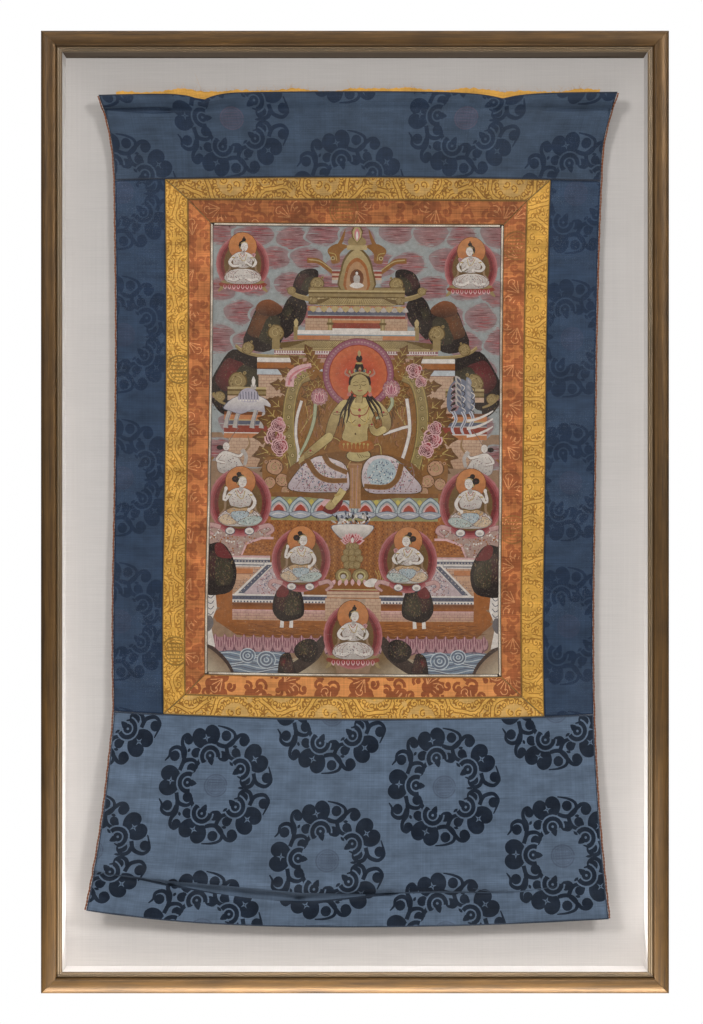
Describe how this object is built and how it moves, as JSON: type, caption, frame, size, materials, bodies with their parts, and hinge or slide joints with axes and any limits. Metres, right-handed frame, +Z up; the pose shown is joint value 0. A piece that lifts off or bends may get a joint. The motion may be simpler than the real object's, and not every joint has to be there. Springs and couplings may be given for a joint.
{
  "type": "thangka scroll painting in a shadow-box frame",
  "caption": "Brocade-mounted scroll painting with mitred borders, hung on a linen board inside a deep gilt shadow-box frame.",
  "frame": {"origin": "centre of the frame's back face, on the wall plane", "axes": "+Z up along the frame's long side, +Y into the wall, +X to the viewer's right; the picture faces -Y"},
  "size_m": [0.8, 0.052, 1.226],
  "materials": {
    "gilt_wood": "aged gilt, satin",
    "linen": "plain woven linen, matt",
    "blue_brocade": "silk damask, soft sheen",
    "pale_blue_brocade": "silk damask, soft sheen",
    "yellow_brocade": "silk damask, soft sheen",
    "red_brocade": "silk damask, soft sheen",
    "painted_canvas": "distemper on cotton, matt",
    "cream_cord": "twisted cotton, matt",
    "russet_piping": "covered cord, matt",
    "yellow_lining": "thin silk, matt"
  },
  "bodies": {
    "root": {"rail_top": "gilt_wood", "rail_bottom": "gilt_wood", "rail_left": "gilt_wood", "rail_right": "gilt_wood", "back_board": "linen", "spacer_top": "linen", "spacer_bottom": "linen", "spacer_left": "linen", "spacer_right": "linen", "blue_top": "blue_brocade", "blue_left": "blue_brocade", "blue_right": "blue_brocade", "blue_bottom": "pale_blue_brocade", "yellow_top": "yellow_brocade", "yellow_bottom": "yellow_brocade", "yellow_left": "yellow_brocade", "yellow_right": "yellow_brocade", "red_top": "red_brocade", "red_bottom": "red_brocade", "red_left": "red_brocade", "red_right": "red_brocade", "canvas": "painted_canvas", "cord_top": "cream_cord", "cord_bottom": "cream_cord", "cord_left": "cream_cord", "cord_right": "cream_cord", "piping_left": "russet_piping", "piping_right": "russet_piping", "lining_top": "yellow_lining"}
  },
  "joints": []
}
